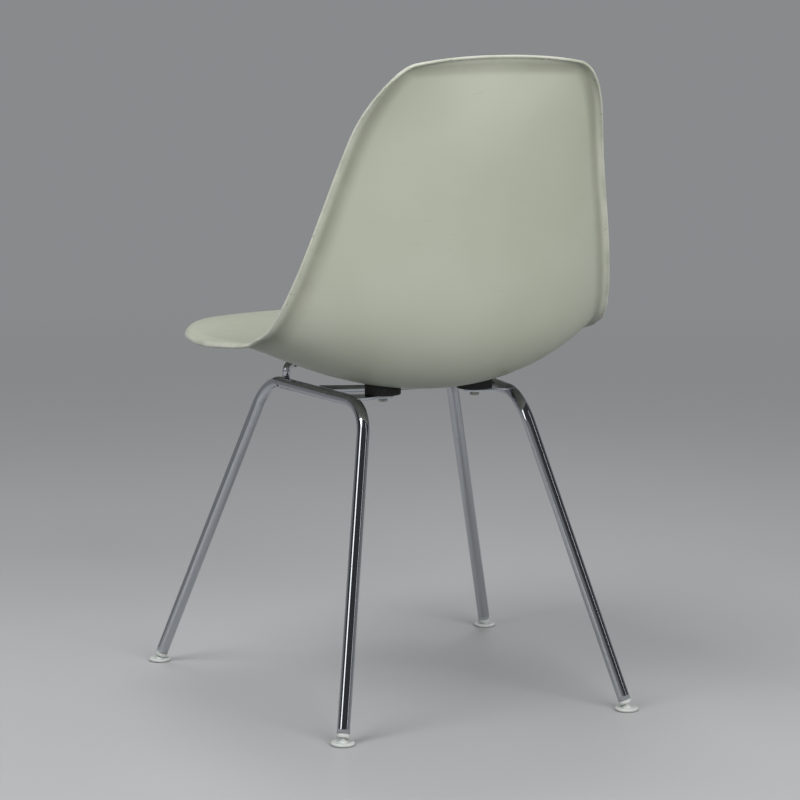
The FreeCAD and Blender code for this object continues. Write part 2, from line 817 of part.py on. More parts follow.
def make_washer(mount):
    """A split spring washer."""
    name = "washer_" + mount.name
    disc = bound("Cylinder", name + "_disc", Radius=cell("washer_diameter") + " / 2",
                 Height=cell("washer_thickness"))
    bore = bound("Cylinder", name + "_bore", Height=cell("washer_thickness"),
                 Radius="(Sizes.bolt_diameter + Sizes.hole_clearance) / 2")
    ring = joined("Cut", name + "_ring", disc, bore)
    slit = bound("Box", name + "_slit", Length=cell("washer_diameter"),
                 Width=cell("washer_slit"), Height=cell("washer_thickness"))
    slit.setExpression("Placement.Base.y", "-Sizes.washer_slit / 2")
    washer = joined("Cut", name, ring, slit)
    washer.Placement = mount.placed(-size("plate_thickness") - size("washer_thickness"))
    return washer


def group(node, members):
    compound = doc.addObject("Part::Compound", node)
    compound.Links = members
    return keep(compound, node)


group("mount_bolts", [make_bolt(mount) for mount in mounts])
group("spring_washers", [make_washer(mount) for mount in mounts])

# Glides


# The neck starts a little inside the ball, before the place where the two are equally wide.
NECK_START = "0.45 * sqrt(Sizes.ball_diameter ^ 2 - Sizes.ball_neck ^ 2)"


def make_plug(end, name, side):
    """Nylon plug: ball, neck, collar under the tube's end and a barrel inside the tube."""
    node = "glide_plug_%s_%s" % (end, name)
    ball = bound("Sphere", node + "_ball", Radius=cell("ball_diameter") + " / 2")
    neck = bound("Cone", node + "_neck", Radius1=cell("ball_neck") + " / 2",
                 Radius2=cell("collar_neck") + " / 2", Height="Sizes.neck_length - " + NECK_START)
    neck.setExpression("Placement.Base.z", NECK_START)
    collar = bound("Cylinder", node + "_collar", Radius=cell("tube_diameter") + " / 2",
                   Height=cell("collar_thickness"))
    collar.setExpression("Placement.Base.z", cell("neck_length"))
    barrel = bound("Cylinder", node + "_barrel", Height=cell("plug_length"),
                   Radius="Sizes.tube_diameter / 2 - Sizes.tube_wall - Sizes.plug_clearance")
    barrel.setExpression("Placement.Base.z", "Sizes.neck_length + Sizes.collar_thickness")
    plug = doc.addObject("Part::MultiFuse", node)
    plug.Shapes = [ball, neck, collar, barrel]
    plug.Placement = Placement(foot_point(end, side), Rotation(UP, leg_direction(end, side)))
    keep(plug, node)


SOCKET_RADIUS = "(Sizes.ball_diameter / 2 + Sizes.ball_clearance)"
MOUTH_ANGLE = ("(Sizes.swivel_limit * 1 deg + Sizes.swivel_spare * 1 deg"
               " + asin(Sizes.ball_neck / Sizes.ball_diameter))")


def rounded_rims(disc, name, radius):
    """The disc with a round on both of its circles."""
    doc.recompute()
    rounded = doc.addObject("Part::Fillet", name)
    rounded.Base = disc
    rims = [n + 1 for n, edge in enumerate(disc.Shape.Edges) if edge.Closed]
    rounded.Edges = [(n, radius, radius) for n in rims]
    return rounded


LARGEST_ROUND = 0.45


def make_pad(end, name, side):
    """Glide pad: a disc with a round edge, a cone up to the ball, and the ball's socket."""
    node = "glide_pad_%s_%s" % (end, name)
    disc = bound("Cylinder", node + "_disc", Radius=cell("pad_diameter") + " / 2",
                 Height=cell("pad_edge"))
    radius = min(size("pad_edge_round"), LARGEST_ROUND * size("pad_edge"))
    rounded = rounded_rims(disc, node + "_rounded", radius)
    cone = bound("Cone", node + "_cone", Radius1="Sizes.pad_diameter / 2 - Sizes.pad_edge / 2",
                 Radius2=cell("pad_boss_diameter") + " / 2",
                 Height="Sizes.ball_height - Sizes.pad_edge + %s * cos(%s)"
                        % (SOCKET_RADIUS, MOUTH_ANGLE))
    cone.setExpression("Placement.Base.z", cell("pad_edge"))
    solid = joined("Fuse", node + "_solid", rounded, cone)
    socket = bound("Sphere", node + "_socket", Radius=SOCKET_RADIUS)
    socket.setExpression("Placement.Base.z", cell("ball_height"))
    pad = joined("Cut", node, solid, socket)
    foot = foot_point(end, side)
    pad.Placement = Placement(Vector(foot.x, foot.y, 0), Rotation())
    keep(pad, node)


for end in ("front", "rear"):
    for name, side in SIDES:
        make_plug(end, name, side)
        make_pad(end, name, side)

# Check and export

doc.recompute()


def check():
    for obj in doc.Objects:
        bad = [state for state in obj.State if state in ("Invalid", "Error")]
        if bad:
            raise RuntimeError("%s is %s" % (obj.Label, bad))
    for obj in parts:
        shape = obj.Shape
        if shape.isNull() or not shape.isValid() or not shape.Solids:
            raise RuntimeError("%s has a bad shape" % obj.Label)


check()
os.makedirs("parts", exist_ok=True)
for obj in parts:
    obj.Shape.exportStep(os.path.join("parts", obj.Label + ".step"))
    box = obj.Shape.optimalBoundingBox(False)
    print("%-28s %2d solids %9.1f mm3  x %.1f..%.1f y %.1f..%.1f z %.1f..%.1f" % (
        obj.Label, len(obj.Shape.Solids), obj.Shape.Volume, box.XMin, box.XMax, box.YMin,
        box.YMax, box.ZMin, box.ZMax))
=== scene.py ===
# %% [markdown]
# # A moulded shell chair on a bent tube base
#
# This lesson dresses a finished construction model of a side chair. One moulded shell, seat and
# back in one, stands on four rubber mounts over a base of two bent chromed tubes, with a cross
# bar, a bow at the front and tilting white glides. The construction model is loaded first, and
# everything made here sits where it says, in metres, with the floor at height zero.

# %% Load the construction model
import json
import math
import bmesh
import bpy
import numpy as np
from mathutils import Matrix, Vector


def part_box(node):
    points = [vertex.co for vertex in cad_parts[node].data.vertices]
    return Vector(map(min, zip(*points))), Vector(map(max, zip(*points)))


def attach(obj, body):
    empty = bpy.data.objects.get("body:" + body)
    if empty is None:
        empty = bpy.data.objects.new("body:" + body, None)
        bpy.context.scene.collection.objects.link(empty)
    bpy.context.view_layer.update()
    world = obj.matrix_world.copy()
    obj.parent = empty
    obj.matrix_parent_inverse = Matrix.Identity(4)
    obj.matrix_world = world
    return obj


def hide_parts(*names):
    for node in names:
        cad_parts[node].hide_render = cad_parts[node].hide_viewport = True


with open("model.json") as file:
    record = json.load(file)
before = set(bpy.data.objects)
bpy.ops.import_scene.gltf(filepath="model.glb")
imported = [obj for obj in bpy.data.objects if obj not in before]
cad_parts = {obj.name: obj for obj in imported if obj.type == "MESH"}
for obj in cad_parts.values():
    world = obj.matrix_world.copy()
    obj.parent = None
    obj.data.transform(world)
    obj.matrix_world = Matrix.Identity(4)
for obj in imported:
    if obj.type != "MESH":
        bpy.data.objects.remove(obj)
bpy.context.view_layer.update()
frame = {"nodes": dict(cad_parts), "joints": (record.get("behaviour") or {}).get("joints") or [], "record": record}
MM = 0.001
ENDS = ("front", "rear")
SIDES = {"left": 1, "right": -1}
joint_of = {joint["child"]: joint for joint in frame["joints"]}

# %% [markdown]
# ## Writing a finish as arithmetic
#
# A finish is a formula: a colour, a roughness or a height that changes over the surface. Node
# trees say the same thing in boxes and wires, but a formula is easier to read and to change. So
# one small class stands for a wire. Adding or multiplying two wires adds the Math node that does
# it, and any other node comes from one method.

# %% A wire that can be added and multiplied


class Wire:
    """An output socket of a node tree; sums and products on it add Math nodes."""

    def __init__(self, tree, socket=None):
        self.tree = tree
        self.socket = socket

    def node(self, kind, settings=None, inputs=None, output=0):
        """Any node: its type, its settings first, then its sockets' values or wires."""
        made = self.tree.nodes.new(kind)
        for name, value in (settings or {}).items():
            setattr(made, name, value)
        for name, value in (inputs or {}).items():
            socket = made.inputs[name]
            if isinstance(value, Wire):
                self.tree.links.new(value.socket, socket)
            else:
                socket.default_value = value
        return Wire(self.tree, made.outputs[output])

    def math(self, operation, *values):
        return self.node("ShaderNodeMath", {"operation": operation}, dict(enumerate(values)))

    def __add__(self, other):
        return self.math("ADD", self, other)

    def __sub__(self, other):
        return self.math("SUBTRACT", self, other)

    def __rsub__(self, other):
        return self.math("SUBTRACT", other, self)

    def __mul__(self, other):
        return self.math("MULTIPLY", self, other)

    __radd__ = __add__
    __rmul__ = __mul__

    def between(self, low, high, start=0.0, end=1.0):
        """A smooth change from start to end while this wire goes from low to high."""
        return self.node("ShaderNodeMapRange", {"interpolation_type": "SMOOTHSTEP"},
                         {"Value": self, "From Min": low, "From Max": high,
                          "To Min": start, "To Max": end})


def blend_colours(wire, amount, first, second):
    """first where amount is 0 and second where it is 1; both are colours or wires."""
    def full(colour):
        return colour if isinstance(colour, Wire) else (*colour, 1)
    return wire.node("ShaderNodeMix", {"data_type": "RGBA"},
                     {0: amount, 6: full(first), 7: full(second)}, output=2)


def noise(wire, place, scale, detail=3.0, stretch=None):
    """A soft random value round a half, over the object's own coordinates."""
    if stretch:
        place = wire.node("ShaderNodeMapping", {}, {"Vector": place, "Scale": stretch})
    return wire.node("ShaderNodeTexNoise", {"noise_dimensions": "3D"},
                     {"Vector": place, "Scale": scale, "Detail": detail})

# %% Colours and materials


def linear(red, green, blue):
    """A colour as light, from its three screen values of 0 to 255, by the screen's own curve."""
    def one(value):
        value = value / 255
        return value / 12.92 if value <= 0.04045 else ((value + 0.055) / 1.055) ** 2.4
    return (one(red), one(green), one(blue))


def new_finish(name, **constants):
    """A material with one surface shader; constants go on the shader's own sockets."""
    material = bpy.data.materials.new(name)
    material.use_nodes = True
    shader = material.node_tree.nodes["Principled BSDF"]
    for socket, value in constants.items():
        shader.inputs[socket.replace("_", " ")].default_value = value
    wire = Wire(material.node_tree)
    place = wire.node("ShaderNodeTexCoord", output="Object")
    print("finish:", name)
    return material, shader, wire, place


def feed(material, shader, **wires):
    """Joins wires to the shader's sockets."""
    for socket, wire in wires.items():
        material.node_tree.links.new(wire.socket, shader.inputs[socket.replace("_", " ")])


def relief(wire, height, distance, strength):
    """A surface normal from a height that goes from 0 to 1, at a real depth in metres."""
    return wire.node("ShaderNodeBump", {},
                     {"Height": height, "Distance": distance, "Strength": strength})


print("screen grey 128 as light: %.3f" % linear(128, 128, 128)[0])

# %% [markdown]
# ## The moulded plastic
#
# The shell is one colour all through, a warm off-white with a little green in it. What makes it
# look moulded is small: the colour drifts by a percent or two, the sheen is patchy where hands and
# clothes have rubbed it, the rim has small nicks, and the last few millimetres of the rim are
# lighter, partly from wear and partly as a painted highlight. A soft grey line of painted shade lies
# in the hollow behind the lip. The mesh carries the distance from the rim and which face is outside
# as attributes, so the wear, the painted highlight and the painted shade can follow the edge.

# %% Finish of the shell
SHELL_PALE = linear(196, 200, 184)
SHELL_DEEP = linear(188, 193, 175)
# Lighter rim colour: partly wear on the cut edge, partly a painted highlight where light from above falls.
SHELL_WORN_AND_LIT = linear(226, 225, 214)
SHELL_NICK = linear(112, 108, 96)
# Painted shade: a dark grey laid into the hollow behind the lip on the outer face, where shade falls.
SHELL_HOLLOW_SHADE = linear(108, 106, 88)
SHELL_SCUFF = linear(160, 158, 146)
WORN_AND_LIT_REACH = (0.0, 0.005)
NICK_REACH = (0.001, 0.006)
HOLLOW_START = (0.003, 0.009)
HOLLOW_END = (0.010, 0.030)
SHELL_RELIEF = 0.00006


def shell_finish():
    """A drifting colour, a rim lighter from wear and a painted highlight, nicks, painted shade
    in the hollow behind the lip, and scuffs laid over it one by one.
    """
    material, shader, wire, place = new_finish("shell_plastic_finish", IOR=1.5)
    rim = wire.node("ShaderNodeAttribute", {"attribute_name": "from_rim"}, output="Fac")
    outside = wire.node("ShaderNodeAttribute", {"attribute_name": "outside"}, output="Fac")
    drift = noise(wire, place, 5.0, 2.0)
    cloud = noise(wire, place, 38.0, 4.0)
    grain = noise(wire, place, 2600.0, 2.0)
    colour = blend_colours(wire, drift.between(0.35, 0.65), SHELL_PALE, SHELL_DEEP)
    # The last 5 mm of the rim made lighter: real wear and a painted highlight at once.
    worn_and_lit_edge = rim.between(*WORN_AND_LIT_REACH, 1.0, 0.0) * noise(wire, place, 22.0).between(0.3, 0.6)
    colour = blend_colours(wire, worn_and_lit_edge * 0.6, colour, SHELL_WORN_AND_LIT)
    nick_spots = noise(wire, place, 330.0, 1.0).between(0.70, 0.74)
    nicks = nick_spots * rim.between(*NICK_REACH, 1.0, 0.0)
    colour = blend_colours(wire, nicks * 0.7, colour, SHELL_NICK)
    # Painted shade in the hollow behind the lip, on the outer face only, broken up by a noise.
    hollow = rim.between(*HOLLOW_START) * rim.between(*HOLLOW_END, 1.0, 0.0) * outside
    hollow_shade = hollow * noise(wire, place, 16.0).between(0.2, 0.6, 0.6, 1.0)
    colour = blend_colours(wire, hollow_shade * 0.42, colour, SHELL_HOLLOW_SHADE)
    scuffs = noise(wire, place, 24.0, 5.0, stretch=(1.0, 1.0, 5.0)).between(0.66, 0.74)
    colour = blend_colours(wire, scuffs * 0.10, colour, SHELL_SCUFF)
    sheen = cloud.between(0.3, 0.7, 0.40, 0.50) + scuffs * 0.08 - worn_and_lit_edge * 0.06
    height = grain * 0.6 + cloud * 0.4 - nicks * 3.0
    feed(material, shader, Base_Color=colour, Roughness=sheen,
         Normal=relief(wire, height, SHELL_RELIEF, 0.5))
    return material


finishes = {"shell_plastic": shell_finish()}

# %% [markdown]
# ## Chrome, zinc, rubber and nylon
#
# Chrome is nearly a mirror. Its colour is the room's, so the finish only adds what a used tube
# has: a faint haze of fine wiping marks along its length and a few dull spots. Zinc plate on the
# bolts is greyer and blotchy. The rubber is matt with a bloom, and the nylon glides are white
# with a soft, slightly waxy sheen and a grey line of floor dirt.

# %% Chrome
CHROME = linear(186, 189, 194)
CHROME_SPOT = linear(140, 136, 128)
WIPING_RELIEF = 0.000002


def chrome_finish():
    """Haze and dull spots in the roughness, and wiping marks drawn out upwards in the relief."""
    material, shader, wire, place = new_finish("chrome_finish", Metallic=1.0)
    haze = noise(wire, place, 60.0, 5.0)
    wiping = noise(wire, place, 900.0, 2.0, stretch=(1.0, 1.0, 0.08))
    spots = noise(wire, place, 210.0, 2.0).between(0.72, 0.76)
    colour = blend_colours(wire, spots * 0.5, CHROME, CHROME_SPOT)
    rough = haze.between(0.35, 0.75, 0.035, 0.085) + spots * 0.2
    feed(material, shader, Base_Color=colour, Roughness=rough,
         Normal=relief(wire, wiping, WIPING_RELIEF, 0.15))
    return material


finishes["chromed_steel"] = chrome_finish()

# %% Zinc plate and rubber
ZINC_BRIGHT = linear(176, 176, 172)
ZINC_DULL = linear(150, 149, 140)
ZINC_RELIEF = 0.00001
RUBBER_BLACK = linear(24, 24, 24)
RUBBER_BLOOM = linear(46, 45, 43)
RUBBER_RELIEF = 0.00005


def zinc_finish():
    """Blotches change the colour and the roughness together."""
    material, shader, wire, place = new_finish("zinc_finish", Metallic=1.0)
    blotch = noise(wire, place, 240.0, 4.0)
    colour = blend_colours(wire, blotch.between(0.35, 0.65), ZINC_BRIGHT, ZINC_DULL)
    feed(material, shader, Base_Color=colour, Roughness=blotch.between(0.3, 0.7, 0.32, 0.5),
         Normal=relief(wire, noise(wire, place, 1500.0), ZINC_RELIEF, 0.5))
    return material


def rubber_finish():
    """A grey bloom over black, matter where it is thicker."""
    material, shader, wire, place = new_finish("rubber_finish", IOR=1.5)
    bloom = noise(wire, place, 120.0, 4.0)
    colour = blend_colours(wire, bloom.between(0.45, 0.8), RUBBER_BLACK, RUBBER_BLOOM)
    feed(material, shader, Base_Color=colour, Roughness=bloom.between(0.3, 0.7, 0.68, 0.84),
         Normal=relief(wire, noise(wire, place, 1800.0), RUBBER_RELIEF, 0.5))
    return material


finishes["plated_steel"] = zinc_finish()
finishes["rubber"] = rubber_finish()

# %% Nylon
NYLON_WHITE = linear(212, 216, 214)
NYLON_GREY = linear(202, 205, 202)
NYLON_GRIME = linear(120, 116, 106)
GRIME_REACH = (0.0002, 0.0022)
NYLON_RELIEF = 0.00001


def nylon_finish():
    """White with a little light inside it, and grime in the lowest two millimetres."""
    material, shader, wire, place = new_finish("nylon_finish", IOR=1.53, Subsurface_Weight=0.12,
                                               Subsurface_Scale=0.002)
    height = wire.node("ShaderNodeSeparateXYZ", {}, {"Vector": place}, output="Z")
    grime = height.between(*GRIME_REACH, 1.0, 0.0) * noise(wire, place, 150.0).between(0.4, 0.6)
    cloud = noise(wire, place, 90.0, 3.0)
    colour = blend_colours(wire, cloud.between(0.3, 0.7), NYLON_WHITE, NYLON_GREY)
    colour = blend_colours(wire, grime * 0.55, colour, NYLON_GRIME)
    feed(material, shader, Base_Color=colour, Roughness=cloud.between(0.3, 0.7, 0.34, 0.46),
         Normal=relief(wire, noise(wire, place, 1400.0), NYLON_RELIEF, 0.4))
    return material


finishes["nylon"] = nylon_finish()
print("finishes:", sorted(finishes))

# %% [markdown]
# ## Surfaces from grids
#
# Every new piece is a grid of points worked out at once with numpy: rows one way, columns the
# other. The columns close into a ring, and most grids shrink to a point or a seam at their ends.
# One function joins any of them into a mesh. Another merges points that coincide, turns the faces
# outwards, says which body the piece rides on and hides the part of the construction model it
# stands for.

# %% From a grid to a piece
MERGE = 1e-6


def grid_mesh(name, grid):
    """Quads over a grid (rows, columns, 3), whose columns close into a ring."""
    rows, columns = grid.shape[:2]
    index = np.arange(rows * columns).reshape(rows, columns)
    index = np.concatenate([index, index[:, :1]], axis=1)
    quads = np.stack([index[:-1, :-1], index[:-1, 1:], index[1:, 1:], index[1:, :-1]], axis=-1)
    mesh = bpy.data.meshes.new(name)
    mesh.from_pydata(grid.reshape(-1, 3).tolist(), [], quads.reshape(-1, 4).tolist())
    return mesh


def finish_piece(name, mesh, body, slot, replaced, merge=MERGE):
    """Closes the mesh, turns it outwards, gives it its finish and body, and hides the nodes it stands for."""
    work = bmesh.new()
    work.from_mesh(mesh)
    bmesh.ops.remove_doubles(work, verts=work.verts, dist=merge)
    bmesh.ops.dissolve_degenerate(work, edges=work.edges, dist=merge)
    bmesh.ops.recalc_face_normals(work, faces=work.faces)
    if work.calc_volume(signed=True) < 0:
        bmesh.ops.reverse_faces(work, faces=work.faces)
    open_edges = sum(1 for edge in work.edges if not edge.is_manifold)
    for face in work.faces:
        face.smooth = True
    work.to_mesh(mesh)
    work.free()
    mesh.materials.append(finishes[slot])
    piece = bpy.data.objects.new(name, mesh)
    bpy.context.scene.collection.objects.link(piece)
    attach(piece, body)
    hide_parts(*replaced)
    print("%-28s %6d faces, %d open edges" % (name, len(mesh.polygons), open_edges))
    return piece


print("parts of the construction model:", len(frame["nodes"]))

# %% [markdown]
# ## The shell's surface
#
# A shell like this has no flat or round part to measure from, so it is described by ten cross
# sections from the front edge, over the seat and up the back. Each one gives the middle of the
# shell, its side edge, and how round the curve between them is. Smooth curves join the sections,
# so the whole surface is one formula of two numbers: s across, from -1 to 1, and t along, from 0
# at the front edge to 1 at the top.

# %% Smooth curves through the sections
SECTION_WAYS = np.array([0.00, 0.08, 0.22, 0.36, 0.48, 0.58, 0.67, 0.79, 0.90, 1.00])
MID_BACK = [-270.5, -242.5, -148, -48, 49, 131.5, 191, 230, 257.5, 274.5]
MID_ABOVE_RAIL = [54, 74.5, 60.5, 40.5, 17.5, 22, 74.5, 195.5, 331.5, 425.5]
SIDE_OUT = [205.5, 216, 224, 231.5, 236.5, 236, 229.5, 205, 171.5, 145.5]
SIDE_BACK = [-271.5, -234, -138.5, -34, 55.5, 87.5, 119, 168.5, 212, 268]
SIDE_ABOVE_RAIL = [44, 53, 50, 58.5, 70.5, 82, 101, 192, 319, 410.5]
PARABOLA = [0.56, 0.45, 0.61, 0.73, 0.77, 0.89, 0.77, 0.69, 0.69, 0.56]
RAIL_HEIGHT = 387 * MM
WALL = 3.5 * MM
LIP_WIDTH = 16 * MM
LIP_FLARE = 10 * MM
LIP_TURN = math.radians(80)


class SmoothLine:
    """A curve through points, with steady curvature at each of them.

    Every span is a cubic. The slopes at the points are solved together, and the slope at each end
    is that of the one cubic through the four points nearest to it.
    """

    def __init__(self, ways, values):
        self.ways, self.values = ways, np.asarray(values, float)
        spans = np.diff(ways)
        rates = np.diff(self.values, axis=0) / spans[:, None]
        count = len(ways)
        matrix, right = np.eye(count), np.zeros_like(self.values)
        right[0] = np.polyfit(ways[:4] - ways[0], self.values[:4], 3)[-2]
        right[-1] = np.polyfit(ways[-4:] - ways[-1], self.values[-4:], 3)[-2]
        for i in range(1, count - 1):
            matrix[i, i - 1:i + 2] = spans[i], 2 * (spans[i - 1] + spans[i]), spans[i - 1]
            right[i] = 3 * (spans[i] * rates[i - 1] + spans[i - 1] * rates[i])
        self.slopes = np.linalg.solve(matrix, right)

    def __call__(self, way):
        way = np.asarray(way, float)
        span = np.clip(np.searchsorted(self.ways, way) - 1, 0, len(self.ways) - 2)
        width = (self.ways[span + 1] - self.ways[span])[..., None]
        share = (way[..., None] - self.ways[span][..., None]) / width
        square, cube = share ** 2, share ** 3
        return ((2 * cube - 3 * square + 1) * self.values[span]
                + (cube - 2 * square + share) * width * self.slopes[span]
                + (3 * square - 2 * cube) * self.values[span + 1]
                + (cube - square) * width * self.slopes[span + 1])


def unit(vectors):
    return vectors / np.linalg.norm(vectors, axis=-1, keepdims=True)


print("sections of the shell:", len(SECTION_WAYS))

# %% The shell as a formula
SLOPE_STEP = 0.002
LOWEST_WAY = 0.52


class ShellForm:
    """Sitting surface: from the middle to the side edge the rise is a*s^2 + (1 - a)*s^4."""

    def __init__(self, mids, sides):
        self.mid = SmoothLine(SECTION_WAYS, mids)
        self.side = SmoothLine(SECTION_WAYS, sides)
        self.share = SmoothLine(SECTION_WAYS, np.array(PARABOLA)[:, None])

    def point(self, s, t):
        s, t = np.broadcast_arrays(np.asarray(s, float), np.asarray(t, float))
        mid, side, share = self.mid(t), self.side(t), self.share(t)[..., 0]
        rise = (share * s ** 2 + (1 - share) * s ** 4)[..., None]
        place = mid + (side - mid) * rise
        place[..., 0] = side[..., 0] * s
        return place

    def slopes(self, s, t):
        low, high = np.maximum(t - SLOPE_STEP, 0), np.minimum(t + SLOPE_STEP, 1)
        across = (self.point(s + SLOPE_STEP, t) - self.point(s - SLOPE_STEP, t)) / (2 * SLOPE_STEP)
        along = (self.point(s, high) - self.point(s, low)) / np.asarray(high - low)[..., None]
        return across, along

    def normal(self, s, t):
        across, along = self.slopes(s, t)
        return unit(np.cross(across, along))


def base_form():
    """The surface before its rim is flared, so that the flared rim lies on the given edge."""
    rail = np.array([0, 0, RAIL_HEIGHT])
    mids = np.stack([np.zeros(len(MID_BACK)), MID_BACK, MID_ABOVE_RAIL], axis=-1) * MM + rail
    sides = np.stack([SIDE_OUT, SIDE_BACK, SIDE_ABOVE_RAIL], axis=-1) * MM + rail
    first = ShellForm(mids, sides)
    turned = LIP_FLARE + WALL / 2
    ones = np.ones(len(SECTION_WAYS))
    new_sides = first.point(ones, SECTION_WAYS) + first.normal(ones, SECTION_WAYS) * turned
    for end, t in ((0, 0.0), (-1, 1.0)):
        mids[end] += first.normal(np.array(0.0), np.array(t)) * turned
    return ShellForm(mids, new_sides)


form = base_form()
print("shell middle at its lowest, mm:", round(form.point(0, LOWEST_WAY)[2] * 1000, 1))

# %% [markdown]
# ## The outline, the flared rim and the wall
#
# The rim has round corners and turns away from the sitter over its last 16 mm, which stiffens the
# edge and throws the soft line of light seen along it. So the grid runs in rings: the outer rings
# are set by their real distance from the rim, where the flare is added, and the inner rings shrink
# to a seam down the middle. The wall is the same grid moved by its thickness along the normals,
# and a half round joins the two.

# %% Along the rim
FRONT_CORNER = (0.36, 0.18)
TOP_CORNER = (0.73, 0.09)
OUTLINE_SAMPLES = 400
RIM_COUNT = 240


def outline():
    """Half of the outline in (s, t): straight ends and sides joined by quarter ellipses."""
    share = np.linspace(0, 1, OUTLINE_SAMPLES, endpoint=False)
    turn = share * math.pi / 2
    (front_s, front_t), (top_s, top_t) = FRONT_CORNER, TOP_CORNER
    stretches = [
        (front_s * share, 0 * share),
        (front_s + (1 - front_s) * np.sin(turn), front_t * (1 - np.cos(turn))),
        (1 + 0 * share, front_t + (1 - front_t - top_t) * share),
        (top_s + (1 - top_s) * np.cos(turn), 1 - top_t + top_t * np.sin(turn)),
        (top_s * (1 - share), 1 + 0 * share), ([0.0], [1.0])]
    return [np.concatenate(part) for part in zip(*stretches)]


def even_rim():
    """The outline at even distances along the rim."""
    s, t = outline()
    steps = np.linalg.norm(np.diff(form.point(s, t), axis=0), axis=-1)
    length = np.concatenate([[0], np.cumsum(steps)])
    places = np.linspace(0, length[-1], RIM_COUNT + 1)
    return np.interp(places, length, s), np.interp(places, length, t)


def inward(s, t):
    """Change of (s, t) per metre straight in from the rim, in the surface."""
    left_s, left_t = np.r_[-s[1], s[:-1]], np.r_[t[1], t[:-1]]
    right_s, right_t = np.r_[s[1:], -s[-2]], np.r_[t[1:], t[-2]]
    tangent = form.point(right_s, right_t) - form.point(left_s, left_t)
    direction = unit(np.cross(form.normal(s, t), tangent))
    across, along = form.slopes(s, t)
    a, b, c = (across ** 2).sum(-1), (across * along).sum(-1), (along ** 2).sum(-1)
    p, q = (across * direction).sum(-1), (along * direction).sum(-1)
    det = a * c - b * b
    return (p * c - q * b) / det, (q * a - p * b) / det


rim_s, rim_t = even_rim()
rim_steps = np.linalg.norm(np.diff(form.point(rim_s, rim_t), axis=0), axis=-1)
print("half of the way round the rim, mm:", round(rim_steps.sum() * 1000))

# %% Rings of the shell
LIP_COUNT = 14
INNER_COUNT = 26
EDGE_COUNT = 8
SEAM_ENDS = (0.2, 0.86)
INNER_REACH = 0.2
MIRROR = np.array([-1, 1, 1])


def ring_normals(rows, guide):
    """Normals of a grid of half rings, whose ends lie on the chair's middle plane."""
    before = np.concatenate([rows[:, 1:2] * MIRROR, rows[:, :-1]], axis=1)
    after = np.concatenate([rows[:, 1:], rows[:, -2:-1] * MIRROR], axis=1)
    down = np.gradient(rows, axis=0, edge_order=2)
    normals = unit(np.cross(after - before, down))
    return normals * np.sign((normals * guide).sum(-1, keepdims=True))


def shell_rows():
    """Half rings from the middle seam of the inner face, round the rim, to the outer seam.

    On the lip the surface turns away along a quarter ellipse: at each turn from 0 to LIP_TURN, the
    sine gives the way out to the rim and one less the cosine gives the way back. Two marks go with
    the rings: from_rim, in metres on the lip and rising by INNER_REACH over the rest, and outside,
    which is 1 on the outer face.
    """
    step_s, step_t = inward(rim_s, rim_t)
    turn = LIP_TURN * np.linspace(1, 0, LIP_COUNT + 1)
    depth = LIP_WIDTH * (1 - np.sin(turn) / math.sin(LIP_TURN))
    drop = LIP_FLARE * (1 - np.cos(turn)) / (1 - math.cos(LIP_TURN))
    ring_s, ring_t = rim_s + step_s * depth[:, None], rim_t + step_t * depth[:, None]
    guide = form.normal(ring_s, ring_t)
    lip = form.point(ring_s, ring_t) - guide * drop[:, None, None]
    lip_normals = ring_normals(lip, guide)
    share = np.linspace(0, 1, INNER_COUNT + 1)[1:, None]
    seam_t = np.clip(ring_t[-1], *SEAM_ENDS)
    deep_s, deep_t = ring_s[-1] * (1 - share), ring_t[-1] + (seam_t - ring_t[-1]) * share
    faces = np.concatenate([lip, form.point(deep_s, deep_t)])
    normals = np.concatenate([lip_normals, form.normal(deep_s, deep_t)])
    centre = lip[0] - lip_normals[0] * (WALL / 2)
    out = unit(lip[0] - lip[1])
    out = unit(out - lip_normals[0] * (out * lip_normals[0]).sum(-1, keepdims=True))
    angle = np.linspace(0, math.pi, EDGE_COUNT + 1)[1:-1, None, None]
    edge = centre + (lip_normals[0] * np.cos(angle) + out * np.sin(angle)) * (WALL / 2)
    from_rim = np.concatenate([depth, LIP_WIDTH + share[:, 0] * INNER_REACH])
    rows = np.concatenate([faces[::-1], edge, faces - normals * WALL])
    distance = np.concatenate([from_rim[::-1], np.zeros(len(edge)), from_rim])
    outside = np.concatenate([0 * from_rim, np.zeros(len(edge)), 1 + 0 * from_rim])
    return rows, {"from_rim": distance, "outside": outside}


def make_shell():
    """Both halves of each ring, kept inside the construction model's own box."""
    half, marks = shell_rows()
    half[:, 0, 0] = half[:, -1, 0] = 0
    other = half[:, -2:0:-1] * MIRROR
    low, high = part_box("seat_shell")
    grid = np.clip(np.concatenate([half, other], axis=1), low, high)
    mesh = grid_mesh("shell", grid)
    for name, values in marks.items():
        mark = mesh.attributes.new(name, "FLOAT", "POINT")
        mark.data.foreach_set("value", np.repeat(values, grid.shape[1]))
    finish_piece("moulded_shell", mesh, "chair", "shell_plastic", ["seat_shell"])


make_shell()

# %% [markdown]
# ## Bent tubes
#
# Each side of the base is one tube: front leg, rail and rear leg, bent twice round a former, so
# its centre line is straight runs joined by arcs. A ring carried along that line makes the tube.
# The ring's own direction is kept from turning by carrying it from each point to the next. The
# glide's collar hides the tube's end, so the end is only closed by a plain hollow cone.

# %% Lines and sweeps
RUN_SPACING = 0.006
FEWEST_ARC_STEPS = 8
ARC_STEPS = 32
FIRST_SIDE = [0.31, 0.27, 0.91]
END_DEPTH = 0.0006
END_RINGS = 4


